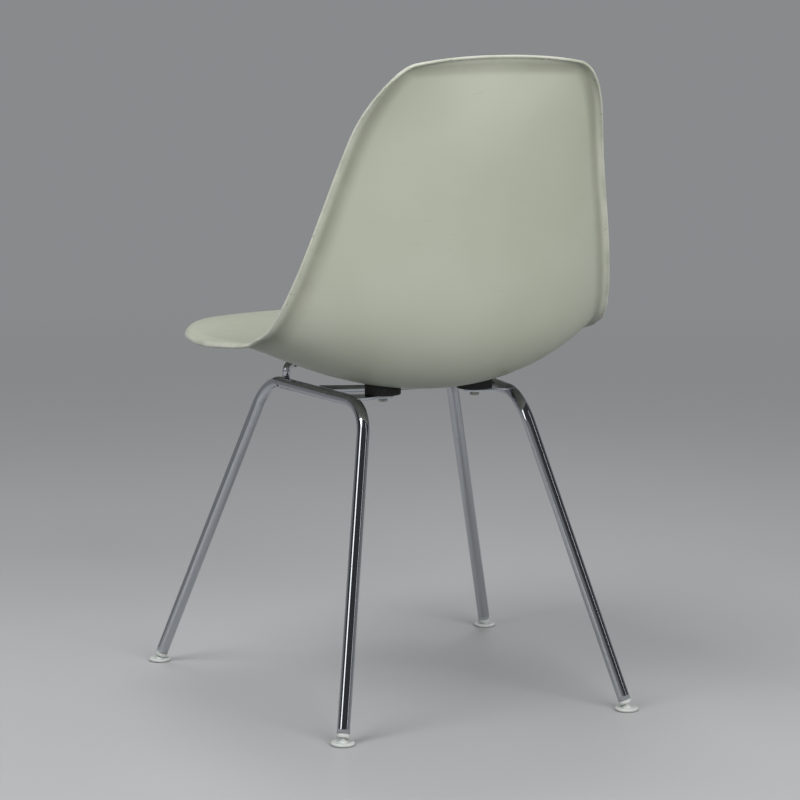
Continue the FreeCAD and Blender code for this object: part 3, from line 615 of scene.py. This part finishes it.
def bent_line(corners, radius):
    """Points along straight runs joined by arcs of one radius."""
    corners = [np.asarray(corner, float) for corner in corners]
    points, start = [], corners[0]

    def run(a, b):
        count = max(2, int(np.linalg.norm(b - a) / RUN_SPACING))
        return a + (b - a) * np.linspace(0, 1, count)[:, None]

    for before, corner, after in zip(corners, corners[1:], corners[2:]):
        back, onward = unit(before - corner), unit(after - corner)
        half_turn = (math.pi - math.acos(np.dot(back, onward))) / 2
        reach = radius * math.tan(half_turn)
        centre = corner + unit(back + onward) * radius / math.cos(half_turn)
        first = corner + back * reach
        points.append(run(start, first)[:-1])
        u, v = unit(first - centre), onward - back
        v = unit(v - u * np.dot(u, v))
        steps = max(FEWEST_ARC_STEPS, int(half_turn * ARC_STEPS))
        angle = np.linspace(0, 2 * half_turn, steps)[:, None]
        points.append(centre + (u * np.cos(angle) + v * np.sin(angle)) * radius)
        start = corner + onward * reach
    points.append(run(start, corners[-1])[1:])
    return np.concatenate(points)


def ring_at(centre, side, upper, radius, angle):
    """One ring, or one for each of a list of centres: centre + side*cos + upper*sin."""
    centre, side, upper = (np.asarray(v)[..., None, :] for v in (centre, side, upper))
    radius = np.asarray(radius)[..., None, None]
    return centre + (side * np.cos(angle) + upper * np.sin(angle)) * radius


def sweep(line, radius, sides):
    """A ring of the given radius carried along a line, its ends closed by hollow cones.

    The first ring starts square to FIRST_SIDE, which no line here follows.
    """
    line = np.asarray(line, float)
    tangent = unit(np.gradient(line, axis=0))
    radius = np.full(len(line), radius)
    side = unit(np.cross(tangent[0], FIRST_SIDE))
    frames = []
    for direction in tangent:
        side = unit(side - direction * np.dot(side, direction))
        frames.append(side)
    side = np.array(frames)
    upper = np.cross(tangent, side)
    angle = np.linspace(0, 2 * math.pi, sides, endpoint=False)[:, None]
    inset = END_DEPTH * (1 - np.sin(np.linspace(0, math.pi / 2, END_RINGS)))
    caps = []
    for end, sign in ((0, 1), (-1, -1)):
        rows = [ring_at(line[end] + tangent[end] * sign * depth, side[end], upper[end],
                        radius[end] - depth, angle) for depth in inset]
        pole = np.broadcast_to(line[end], rows[0].shape)
        caps.append([pole] + rows if sign > 0 else rows[::-1] + [pole])
    body = ring_at(line[1:-1], side[1:-1], upper[1:-1], radius[1:-1], angle)
    return np.concatenate([np.stack(caps[0]), body, np.stack(caps[1])])


square_turn = bent_line([(0, 0, 0), (1, 0, 0), (1, 1, 0)], 0.5)
print("points on a line of two metres with one round bend:", len(square_turn))

# %% Leg frames
TUBE = 15.9 * MM
TUBE_BEND = 50.8 * MM
TUBE_SIDES = 64
CORNER = {"front": (130.7 * MM, -129.1 * MM), "rear": (106.1 * MM, 120.6 * MM)}
COLLAR_FOOT = 3.4 * MM
COLLAR = 4.6 * MM


def ball(end, side_name):
    """Centre of a glide's ball, which is where its pad tilts."""
    return np.array(joint_of["pad_%s_%s" % (end, side_name)]["pos_m"], float)


def rail_corner(end, sign):
    """Where the centre lines of a leg and its rail would meet without the bend."""
    out, back = CORNER[end]
    return np.array([out * sign, back, RAIL_HEIGHT])


def leg_up(end, side_name):
    """Direction up a leg from its ball."""
    return unit(rail_corner(end, SIDES[side_name]) - ball(end, side_name))


def make_leg_frame(side_name):
    """One tube from glide to glide, whose ends stand on the collars."""
    sign = SIDES[side_name]
    ends = [ball(end, side_name) + leg_up(end, side_name) * (COLLAR_FOOT + COLLAR)
            for end in ENDS]
    line = bent_line([ends[0], rail_corner("front", sign), rail_corner("rear", sign), ends[1]],
                     TUBE_BEND)
    node = side_name + "_leg_frame"
    mesh = grid_mesh(node, sweep(line, TUBE / 2, TUBE_SIDES))
    finish_piece("bent_tube_" + side_name, mesh, "chair", "chromed_steel", [node])


for side_name in SIDES:
    make_leg_frame(side_name)

# %% [markdown]
# ## Cross bar and front bow
#
# Two rods join the tubes. The cross bar dips a little in the middle. The front bow stands on the
# rails and carries the front mounts under the seat. The rods run into the tubes, where the real
# ones are welded, so their ends are never seen.

# %% Rods
ROD = 10 * MM
ROD_BEND = 9 * MM
ROD_SIDES = 40
bow_low, bow_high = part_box("front_bow")
bar_low, bar_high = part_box("cross_bar")
BOW_BACK = (bow_low.y + bow_high.y) / 2
BOW_HEIGHT = bow_high.z - ROD / 2
BAR_BACK = (bar_low.y + bar_high.y) / 2
BAR_END_LIFT = 2.8 * MM
BAR_DIP = 4 * MM
BAR_INTO_TUBE = 1.2 * MM
BAR_PLACES = 61


def rail_out(back):
    """How far a rail's centre line is from the middle at a place along the chair."""
    (front_out, front_back), (rear_out, rear_back) = CORNER["front"], CORNER["rear"]
    share = (back - front_back) / (rear_back - front_back)
    return front_out + (rear_out - front_out) * share


def make_bow():
    """A rod up from one rail, across and down to the other; its feet end inside the tubes."""
    out = rail_out(BOW_BACK)
    foot = math.sqrt((TUBE / 2) ** 2 - (ROD / 2) ** 2)
    corners = [(out, BOW_BACK, RAIL_HEIGHT + foot), (out, BOW_BACK, BOW_HEIGHT),
               (-out, BOW_BACK, BOW_HEIGHT), (-out, BOW_BACK, RAIL_HEIGHT + foot)]
    mesh = grid_mesh("bow", sweep(bent_line(corners, ROD_BEND), ROD / 2, ROD_SIDES))
    finish_piece("front_bow_rod", mesh, "chair", "chromed_steel", ["front_bow"])


def make_cross_bar():
    """A rod between the rails, lower in the middle by a parabola."""
    reach = rail_out(BAR_BACK) - TUBE / 2 + BAR_INTO_TUBE
    place = np.linspace(-1, 1, BAR_PLACES)
    height = RAIL_HEIGHT + BAR_END_LIFT - BAR_DIP * (1 - place ** 2)
    line = np.stack([reach * place, np.full(BAR_PLACES, BAR_BACK), height], axis=-1)
    mesh = grid_mesh("cross", sweep(line, ROD / 2, ROD_SIDES))
    finish_piece("cross_bar_rod", mesh, "chair", "chromed_steel", ["cross_bar"])


make_bow()
make_cross_bar()

# %% [markdown]
# ## Glides
#
# A white nylon plug fills each tube end. Its collar bears on the tube, and close under the collar
# is a ball. The pad snaps on the ball, so it lies flat whatever the leg's slope. Both are turned
# pieces: a profile revolved about the leg's line for the plug, and about the upright for the pad.

# %% Turned pieces
NUDGE = np.array([1e-9, 0, 0])


def revolved(profile, origin, axis, sides):
    """A profile of (radius, height) turned about an axis through the origin.

    NUDGE only matters for an axis along the chair, which would have no side without it.
    """
    profile, axis = np.asarray(profile, float), unit(np.asarray(axis, float))
    side = unit(np.cross(axis, [0.0, 1.0, 0.0]) + NUDGE)
    upper = np.cross(axis, side)
    angle = np.linspace(0, 2 * math.pi, sides, endpoint=False)[:, None]
    centres = np.asarray(origin) + profile[:, 1:] * axis
    return ring_at(centres, np.broadcast_to(side, centres.shape),
                   np.broadcast_to(upper, centres.shape), profile[:, 0], angle)


def arc(centre, radius, start, end, count):
    """Points of a profile on a circle, from one angle to another in degrees."""
    angle = np.radians(np.linspace(start, end, count))[:, None]
    return np.asarray(centre) + radius * np.concatenate([np.cos(angle), np.sin(angle)], axis=1)


print("ball centres above the floor, mm:",
      [round(ball(end, side_name)[2] / MM, 2) for end in ENDS for side_name in SIDES])

# %% Plugs and pads
BALL = 4 * MM
BALL_TOP = 2.4 * MM
SOCKET = 4.15 * MM
COLLAR_RADIUS = 8.35 * MM
COLLAR_ROUND = 1.5 * MM
STEM_INSET = 1.55 * MM
STEM_LENGTH = 6 * MM
PLUG_SIDES = 64
PAD_RADIUS = 14.75 * MM
PAD_RIM = 2.2 * MM
PAD_DISH = 3.9 * MM
PAD_BOSS = 6.0 * MM
PAD_TOP = 6.2 * MM
BOSS_FOOT = 0.6 * MM
BOSS_ROUND = 1.2 * MM
DISH_STEPS = 14
PAD_SIDES = 72


def make_plug(end, side_name):
    """A ball, a collar with a round lower edge that bears on the tube's end, and a stem."""
    top = COLLAR_FOOT + COLLAR
    ball_end = 90 - math.degrees(math.asin(BALL_TOP / BALL))
    stem = TUBE / 2 - STEM_INSET
    small = COLLAR_ROUND / 4
    profile = np.concatenate([
        arc((0, 0), BALL, -90, ball_end, count=24),
        arc((COLLAR_RADIUS - COLLAR_ROUND, COLLAR_FOOT + COLLAR_ROUND), COLLAR_ROUND, -90, 0,
            count=8),
        arc((COLLAR_RADIUS - small, top - small), small, 0, 90, count=4),
        [(stem, top), (stem, top + STEM_LENGTH), (0, top + STEM_LENGTH)]])
    node = "glide_plug_%s_%s" % (end, side_name)
    grid = revolved(profile, ball(end, side_name), leg_up(end, side_name), PLUG_SIDES)
    finish_piece("plug_%s_%s" % (end, side_name), grid_mesh(node, grid), "chair", "nylon", [node])


def make_pad(end, side_name):
    """A disc with a full round rim, a shallow dish and a low boss, hollowed for the ball.

    The dish falls from the rim and meets the boss in a hollow: a cosine down, a quarter round up.
    """
    centre = ball(end, side_name)
    mouth = math.degrees(math.asin((PAD_TOP - centre[2]) / SOCKET))
    rim_top, foot = 2 * PAD_RIM, PAD_BOSS + BOSS_FOOT
    share = np.linspace(0, 1, DISH_STEPS)[1:, None]
    dish = np.concatenate([
        PAD_RADIUS - PAD_RIM + (foot - PAD_RADIUS + PAD_RIM) * share,
        PAD_DISH + (rim_top - PAD_DISH) * (1 + np.cos(share * math.pi)) / 2], axis=1)
    profile = np.concatenate([
        [(0, 0)],
        arc((PAD_RADIUS - PAD_RIM, PAD_RIM), PAD_RIM, -90, 90, count=17), dish,
        arc((foot, PAD_DISH + BOSS_FOOT), BOSS_FOOT, 270, 180, count=5)[1:],
        arc((PAD_BOSS - BOSS_ROUND, PAD_TOP - BOSS_ROUND), BOSS_ROUND, 0, 90, count=5),
        arc((0, centre[2]), SOCKET, mouth, -90, count=20)])
    node = "glide_pad_%s_%s" % (end, side_name)
    grid = revolved(profile, (centre[0], centre[1], 0), (0, 0, 1), PAD_SIDES)
    finish_piece("pad_%s_%s" % (end, side_name), grid_mesh(node, grid),
                 "pad_%s_%s" % (end, side_name), "nylon", [node])


for end in ENDS:
    for side_name in SIDES:
        make_plug(end, side_name)
        make_pad(end, side_name)

# %% [markdown]
# ## Rubber mounts
#
# Four rubber discs carry the shell, bonded to its underside, so their top follows the shell's
# curve. Each is a ring grid from the middle of the lower face, round a soft edge, up the side and
# over the top. The top's height comes from the shell's own formula.

# %% The shell's underside over the mounts
MOUNT_HEIGHT = 10 * MM
MOUNT_OUT = 63.5 * MM
MOUNT_BACK = {"front": -89 * MM, "rear": 80 * MM}
SEAT_HALF_WIDTH = 0.235
SEAT_WAY = 0.45
WAY_LIMITS = (0.02, 0.98)
SEARCH_STEPS = 12


def under_shell(x, y):
    """Underside of the shell over places on the floor, by Newton's steps in (s, t)."""
    x, y = np.broadcast_arrays(np.asarray(x, float), np.asarray(y, float))
    s, t = x / SEAT_HALF_WIDTH, np.full(x.shape, SEAT_WAY)
    for _ in range(SEARCH_STEPS):
        normal = form.normal(s, t)
        place = form.point(s, t) - normal * WALL
        across, along = form.slopes(s, t)
        miss_x, miss_y = x - place[..., 0], y - place[..., 1]
        det = across[..., 0] * along[..., 1] - along[..., 0] * across[..., 1]
        s = s + (miss_x * along[..., 1] - miss_y * along[..., 0]) / det
        t = t + (miss_y * across[..., 0] - miss_x * across[..., 1]) / det
        t = np.clip(t, *WAY_LIMITS)
    return place, normal


def mount_frame(end, sign):
    """A mount's lower middle, its way up and the way along its plate."""
    place, normal = under_shell(MOUNT_OUT * sign, MOUNT_BACK[end])
    if end == "rear":
        up, onward = np.array([0, 0, 1.0]), np.array([sign, 0, 0.0])
    else:
        up = unit(normal * np.array([0, 1, 1]))
        onward = np.array([0, up[2], -up[1]])
    return place - up * MOUNT_HEIGHT, up, onward


print("underside of the shell over the front and rear mounts, mm:",
      [round(under_shell(MOUNT_OUT, MOUNT_BACK[end])[0][2] / MM, 1) for end in ENDS])

# %% Mounts
MOUNT_RADIUS = 22.5 * MM
MOUNT_SIDES = 96
MOUNT_ROUND = 1.2 * MM
BOLT_HOLE = 3.4 * MM
HOLE_DIP = 0.3 * MM
FLAT_RADIUS = 12 * MM
WALL_FOOT = 3 * MM
TOP_RADII = np.array([1.0, 1.0, 0.985, 0.9, 0.7, 0.45, 0.15]) * MOUNT_RADIUS
TOP_LIFTS = np.array([0.55, 0.93, 1.0, 1.0, 1.0, 1.0, 1.0])
LEVEL_STEPS = 6
BOND = 0.03 * MM


def make_mount(end, side_name):
    """Rings up a round rubber block; each upper one climbs along up until it meets the shell."""
    seat, up, onward = mount_frame(end, SIDES[side_name])
    sideways = np.cross(up, onward)
    angle = np.linspace(0, 2 * math.pi, MOUNT_SIDES, endpoint=False)
    ray = onward * np.cos(angle)[:, None] + sideways * np.sin(angle)[:, None]
    lower = np.concatenate([
        [(BOLT_HOLE, HOLE_DIP), (FLAT_RADIUS, 0), (MOUNT_RADIUS - MOUNT_ROUND, 0)],
        arc((MOUNT_RADIUS - MOUNT_ROUND, MOUNT_ROUND), MOUNT_ROUND, -80, 0, count=7),
        [(MOUNT_RADIUS, WALL_FOOT)]])
    rows = [seat + ray * radius + up * height for radius, height in lower]
    for radius, lift in zip(TOP_RADII, TOP_LIFTS):
        flat = seat + ray * radius
        level = np.full(len(angle), MOUNT_HEIGHT)
        for _ in range(LEVEL_STEPS):
            place = flat + up * level[:, None]
            level = level + (under_shell(place[:, 0], place[:, 1])[0][:, 2] - place[:, 2]) / up[2]
        rows.append(flat + up * (level * lift - BOND)[:, None])
    top = np.broadcast_to(rows[-1].mean(axis=0), rows[-1].shape)
    bottom = np.broadcast_to(seat + up * HOLE_DIP, rows[0].shape)
    node = "shock_mount_%s_%s" % (end, side_name)
    grid = np.stack([bottom] + rows + [top])
    finish_piece("rubber_disc_%s_%s" % (end, side_name), grid_mesh(node, grid), "chair",
                 "rubber", [node])


for end in ENDS:
    for side_name in SIDES:
        make_mount(end, side_name)

# %% [markdown]
# ## Plates, tabs, bolts and washers
#
# These pieces are already right in the construction model, but their edges are knife sharp, and a
# sharp edge never catches light. So each one is copied, its loose triangles are merged, and a
# small bevel rounds the edges.

# %% Rounded copies of the small steel pieces
COPY_MERGE = 2e-6
BEVEL_SEGMENTS = 2
BEVEL_ANGLE = math.radians(35)
ROUNDING = {
    "front_mount_plate_left": 0.4 * MM, "rear_mount_tab_left": 0.4 * MM,
    "front_mount_plate_right": 0.4 * MM, "rear_mount_tab_right": 0.4 * MM,
    "mount_bolts": 0.2 * MM, "spring_washers": 0.15 * MM}
slot_of = {part["node"]: part["material_slot"] for part in frame["record"]["subparts"]}


def rounded_copy(node, width):
    """A merged copy of a construction piece with its edges bevelled."""
    mesh = frame["nodes"][node].data.copy()
    mesh.materials.clear()
    piece = finish_piece(node + "_rounded", mesh, "chair", slot_of[node], [node], COPY_MERGE)
    bevel = piece.modifiers.new("soft edges", "BEVEL")
    bevel.width = width
    bevel.segments = BEVEL_SEGMENTS
    bevel.limit_method = "ANGLE"
    bevel.angle_limit = BEVEL_ANGLE
    bevel.harden_normals = True


for node, width in ROUNDING.items():
    rounded_copy(node, width)

# %% [markdown]
# ## What stays from the construction model
#
# The steel inserts inside the rubber stay as they are, and only get their finish. The parts that
# new pieces stand for get theirs too, though they aren't shown.

# %% Finishes on the construction model
for name, node in frame["nodes"].items():
    node.data.materials.clear()
    node.data.materials.append(finishes[slot_of[name]])
print("parts of the construction model with a finish:", len(frame["nodes"]))

# %% [markdown]
# ## Studio
#
# The chair stands on a light grey floor under soft light. A large lamp high to the left throws the
# soft shadow to the right, a wide one on the camera's side lights the back of the shell evenly,
# and a small one high beyond the chair lights the rims. Two tall strips, left and right, draw the
# long bright lines on the tubes. The backdrop is plain all round and dims overhead, because chrome
# needs something dark to reflect, and the floor fades into it. For the rays that show it the floor
# is lighter than for the light it throws back up, so the shell's underside stays dark.

# %% Floor
CAMERA_PLACE = Vector((1602, 3422, 952)) * MM
CAMERA_TARGET = Vector((3.46, 2, 369.64)) * MM
TO_CAMERA = ((CAMERA_PLACE - CAMERA_TARGET) * Vector((1, 1, 0))).normalized()
TO_LEFT = Vector((TO_CAMERA.y, -TO_CAMERA.x, 0))
BACKDROP = linear(136, 138, 140)
FLOOR_PALE = linear(192, 193, 194)
FLOOR_DARK = linear(118, 119, 120)
FLOOR_RINGS = (0.0, 1.0, 3.0, 9.0, 27.0, 60.0)
FLOOR_SIDES = 128
FLOOR_FADE = (0.8, 4.2)


def seen_rays(wire):
    """1 for the rays that show a surface, straight, in gloss or through glass, and 0 for light."""
    rays = [wire.node("ShaderNodeLightPath", output=name)
            for name in ("Is Camera Ray", "Is Glossy Ray", "Is Transmission Ray")]
    return rays[0] + rays[1] + rays[2]


def make_floor():
    """A wide disc whose surface turns into the backdrop's own light with the distance."""
    angle = np.linspace(0, 2 * math.pi, FLOOR_SIDES, endpoint=False)[:, None]
    circle = np.concatenate([np.cos(angle), np.sin(angle), 0 * angle], axis=1)
    grid = np.stack([circle * distance for distance in FLOOR_RINGS])
    mesh = grid_mesh("floor", grid)
    floor = bpy.data.objects.new("studio_floor", mesh)
    bpy.context.scene.collection.objects.link(floor)
    material, shader, wire, place = new_finish("floor_finish", Roughness=0.42, IOR=1.45)
    cloud = noise(wire, place, 1.3, 3.0).between(0.3, 0.7, 0.94, 1.0)
    feed(material, shader, Base_Color=blend_colours(
        wire, seen_rays(wire) * cloud, FLOOR_DARK, FLOOR_PALE))
    tree = material.node_tree
    away = wire.node("ShaderNodeVectorMath", {"operation": "LENGTH"}, {0: place}, output="Value")
    far = away.between(*FLOOR_FADE) * seen_rays(wire)
    plain = wire.node("ShaderNodeEmission", {}, {"Color": (*BACKDROP, 1), "Strength": 1.0})
    near = Wire(tree, shader.outputs[0])
    sweep_up = wire.node("ShaderNodeMixShader", {}, {0: far, 1: near, 2: plain})
    tree.links.new(sweep_up.socket, tree.nodes["Material Output"].inputs["Surface"])
    mesh.materials.append(material)


make_floor()

# %% World
ROOM_LIGHT = (0.22, 0.222, 0.226)
DIM_ROOM = (0.05, 0.052, 0.055)
BEHIND_CHAIR = (-0.75, -0.2)
OVERHEAD = (0.10, 0.26)


def make_world():
    """A plain backdrop all round, which dims overhead except behind the chair."""
    world = bpy.data.worlds.new("plain room")
    bpy.context.scene.world = world
    world.use_nodes = True
    wire = Wire(world.node_tree)
    direction = wire.node("ShaderNodeTexCoord", output="Generated")
    toward_camera = wire.node("ShaderNodeVectorMath", {"operation": "DOT_PRODUCT"},
                              {0: direction, 1: tuple(TO_CAMERA)}, output="Value")
    height = wire.node("ShaderNodeSeparateXYZ", {}, {"Vector": direction}, output="Z")
    dim = toward_camera.between(*BEHIND_CHAIR) * height.between(*OVERHEAD)
    room = blend_colours(wire, dim, BACKDROP, DIM_ROOM)
    tone = blend_colours(wire, seen_rays(wire), ROOM_LIGHT, room)
    background = world.node_tree.nodes["Background"]
    world.node_tree.links.new(tone.socket, background.inputs["Color"])
    background.inputs["Strength"].default_value = 1.0
    print("world:", world.name)


make_world()

# %% Lamps
LAMP_AIM = Vector((0, 0, 0.45))
# width and height in metres, degrees left of the camera, degrees up, metres away and watts
LAMPS = {
    "key": (1.6, 1.6, 52, 56, 3.2, 40), "fill": (2.6, 1.6, -30, 22, 4.0, 98),
    "top": (0.9, 0.9, 180, 72, 3.0, 18), "left strip": (0.80, 2.4, 46, 22, 3.0, 14),
    "right strip": (0.16, 2.4, -62, 22, 3.0, 2.4)}


def make_lamp(name, width, height, turn, rise, distance, power):
    """A soft lamp that faces the chair, at so many degrees left of the camera and so high."""
    lamp = bpy.data.lights.new(name, "AREA")
    lamp.shape = "RECTANGLE"
    lamp.size, lamp.size_y = width, height
    lamp.energy = power
    turn, rise = math.radians(turn), math.radians(rise)
    level = TO_LEFT * math.sin(turn) + TO_CAMERA * math.cos(turn)
    away = level * math.cos(rise) + Vector((0, 0, math.sin(rise)))
    holder = bpy.data.objects.new(name, lamp)
    holder.location = LAMP_AIM + away * distance
    holder.rotation_euler = away.to_track_quat("Z", "Y").to_euler()
    bpy.context.scene.collection.objects.link(holder)
    print("lamp %-12s %5.1f W" % (name, power))
    return holder


lamps = {name: make_lamp(name, *measures) for name, measures in LAMPS.items()}
lamps["fill"].visible_glossy = False

# %% [markdown]
# ## Camera
#
# The camera stands behind the chair, to the sitter's left, and a little higher than the back, with
# a long lens. Its place was worked out from the legs and the round glide pads of the photograph.

# %% Camera
FRAME_PIXELS = 800
FOCAL_PIXELS = 3000
SENSOR_WIDTH = 36
FARTHEST_SEEN = 200


def make_camera():
    """A lens whose length, in pixels of the picture, is FOCAL_PIXELS."""
    data = bpy.data.cameras.new("photo camera")
    data.sensor_width = SENSOR_WIDTH
    data.lens = data.sensor_width * FOCAL_PIXELS / FRAME_PIXELS
    data.clip_end = FARTHEST_SEEN
    camera = bpy.data.objects.new("photo camera", data)
    camera.location = CAMERA_PLACE
    camera.rotation_euler = (CAMERA_TARGET - CAMERA_PLACE).to_track_quat("-Z", "Y").to_euler()
    bpy.context.scene.collection.objects.link(camera)
    bpy.context.scene.camera = camera
    print("lens, mm:", data.lens)


make_camera()
bpy.context.scene.view_settings.view_transform = "Standard"
